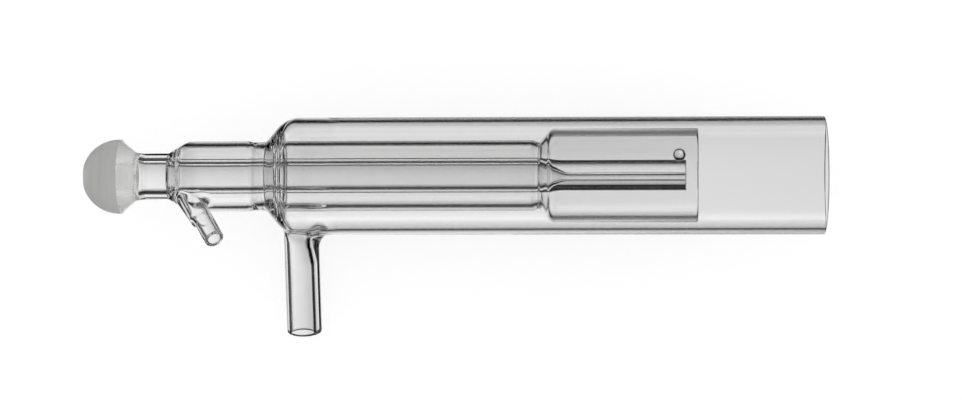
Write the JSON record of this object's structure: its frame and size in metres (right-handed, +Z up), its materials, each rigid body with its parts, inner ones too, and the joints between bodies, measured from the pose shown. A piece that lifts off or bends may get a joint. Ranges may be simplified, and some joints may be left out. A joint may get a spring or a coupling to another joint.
{
  "type": "icp torch",
  "caption": "One-piece quartz torch for plasma spectrometry: coaxial outer, middle and injector tubes joined by ring seals, with a plasma gas arm, a slanted auxiliary gas arm and a ground ball inlet.",
  "frame": {"origin": "on the axis of the tubes, in the end face of the outlet", "axes": "+X along the axis, out of the outlet; +Z up from the level surface that the torch lies on, which is at z = -10 mm; the plasma gas arm points to -Y and slightly down, the auxiliary arm to -Y and up"},
  "size_m": [0.126, 0.0376, 0.0217],
  "materials": {
    "quartz": "clear, fire-polished; the ball is ground matt"
  },
  "bodies": {
    "root": {"torch": "quartz"}
  },
  "joints": []
}
